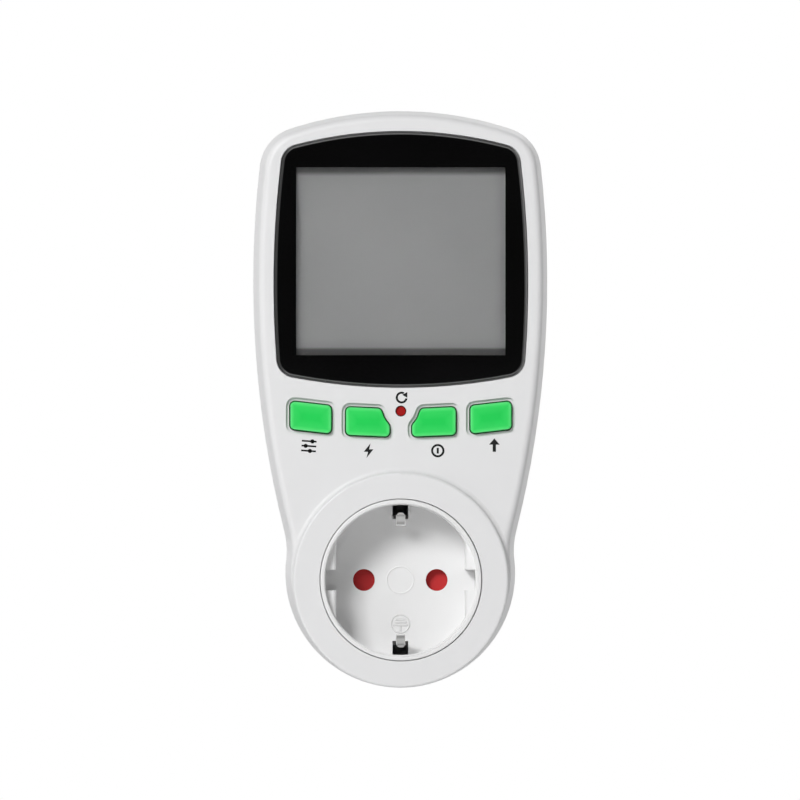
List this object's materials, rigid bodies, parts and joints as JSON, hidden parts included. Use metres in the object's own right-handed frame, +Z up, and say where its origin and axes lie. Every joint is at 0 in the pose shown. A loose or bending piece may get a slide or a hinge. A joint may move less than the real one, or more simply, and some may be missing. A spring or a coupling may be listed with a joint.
{
  "type": "plug-in energy meter",
  "caption": "Plug-in energy meter with an arched white case, earthed plug behind, earthed socket in a round front boss, wide display window, green keys and a small red reset button.",
  "frame": {"origin": "middle of the end face of the plug, where its pins come out", "axes": "+Y out of the plug into the wall along the pins, +Z up, +X to the right of someone who reads the display, which faces -Y"},
  "size_m": [0.0768, 0.0752, 0.1505],
  "materials": {
    "case_white": "fine satin",
    "insert_white": "satin",
    "zinc_screw": "zinc plated",
    "contact_steel": "nickel plated",
    "contact_brass": "bright",
    "pin_nickel": "nickel plated",
    "spring_steel": "drawn wire",
    "shutter_red": "moulded",
    "block_nylon": "moulded",
    "lead_brown": "soft insulation",
    "lead_blue": "soft insulation",
    "window_clear": "clear polished plastic",
    "print_black": "printed",
    "display_glass": "display glass",
    "reflector_foil": "satin foil",
    "holder_white": "moulded",
    "zebra_grey": "striped silicone",
    "board_green": "solder mask",
    "resin_black": "resin",
    "can_steel": "bare can",
    "key_green": "silicone",
    "pill_carbon": "carbon",
    "switch_black": "moulded",
    "reset_red": "moulded",
    "film_blue": "moulded box",
    "can_sleeve": "sleeve",
    "varistor_blue": "dipped",
    "resistor_body": "lacquer",
    "diode_black": "moulded",
    "shunt_metal": "rolled strip",
    "link_black": "moulded"
  },
  "bodies": {
    "housing": {"front_case": "case_white", "rear_case": "case_white", "case_screws": "zinc_screw", "socket_insert": "insert_white", "shutter_spring": "spring_steel", "contact_block": "block_nylon", "live_contact": "contact_brass", "neutral_contact": "contact_brass", "earth_bracket": "contact_steel", "live_pin": "pin_nickel", "neutral_pin": "pin_nickel", "pin_carrier": "block_nylon", "carrier_screw": "zinc_screw", "live_lead": "lead_brown", "neutral_lead": "lead_blue", "display_window": "window_clear", "window_mask": "print_black", "lcd_glass": "display_glass", "lcd_reflector": "reflector_foil", "lcd_holder": "holder_white", "zebra_strips": "zebra_grey", "display_board": "board_green", "display_board_screws": "zinc_screw", "controller_blob": "resin_black", "quartz_crystal": "can_steel", "backup_cells": "can_steel", "web_set": "key_green", "web_energy": "key_green", "web_cost": "key_green", "web_up": "key_green", "keypad_mat": "key_green", "reset_switch": "switch_black", "power_board": "board_green", "power_board_screws": "zinc_screw", "film_capacitor": "film_blue", "smoothing_capacitor": "can_sleeve", "varistor": "varistor_blue", "dropper_resistor": "resistor_body", "diodes": "diode_black", "metering_chip": "resin_black", "shunt": "shunt_metal", "board_link": "link_black"},
    "key_set": {"key_set": "key_green", "pill_set": "pill_carbon"},
    "key_energy": {"key_energy": "key_green", "pill_energy": "pill_carbon"},
    "key_cost": {"key_cost": "key_green", "pill_cost": "pill_carbon"},
    "key_up": {"key_up": "key_green", "pill_up": "pill_carbon"},
    "reset_button": {"reset_button": "reset_red"},
    "shutter": {"shutter": "shutter_red"},
    "earth_clip_top": {"earth_clip_top": "contact_steel"},
    "earth_clip_bottom": {"earth_clip_bottom": "contact_steel"}
  },
  "joints": [
    {"name": "key_set_press", "type": "slide", "parent": "housing", "child": "key_set", "axis": [0, 1, 0], "range_m": [0, 0.001], "stiffness_N_per_m": 800, "springref_m": -0.0002},
    {"name": "key_energy_press", "type": "slide", "parent": "housing", "child": "key_energy", "axis": [0, 1, 0], "range_m": [0, 0.001], "stiffness_N_per_m": 800, "springref_m": -0.0002},
    {"name": "key_cost_press", "type": "slide", "parent": "housing", "child": "key_cost", "axis": [0, 1, 0], "range_m": [0, 0.001], "stiffness_N_per_m": 800, "springref_m": -0.0002},
    {"name": "key_up_press", "type": "slide", "parent": "housing", "child": "key_up", "axis": [0, 1, 0], "range_m": [0, 0.001], "stiffness_N_per_m": 800, "springref_m": -0.0002},
    {"name": "reset_press", "type": "slide", "parent": "housing", "child": "reset_button", "axis": [0, 1, 0], "range_m": [0, 0.00025], "stiffness_N_per_m": 3000, "springref_m": -0.00005},
    {"name": "shutter_turn", "type": "hinge", "parent": "housing", "child": "shutter", "pos_m": [0, -0.035, 0], "axis": [0, 1, 0], "range_deg": [0, 40], "stiffness_Nm_per_rad": 0.0012, "springref_deg": -11.46},
    {"name": "earth_clip_top_flex", "type": "hinge", "parent": "housing", "child": "earth_clip_top", "pos_m": [0, -0.0305, 0.0165], "axis": [-1, 0, 0], "range_deg": [0, 8], "stiffness_Nm_per_rad": 0.1, "springref_deg": -1.15},
    {"name": "earth_clip_bottom_flex", "type": "hinge", "parent": "housing", "child": "earth_clip_bottom", "pos_m": [0, -0.0305, -0.0165], "axis": [1, 0, 0], "range_deg": [0, 8], "stiffness_Nm_per_rad": 0.1, "springref_deg": -1.15}
  ]
}
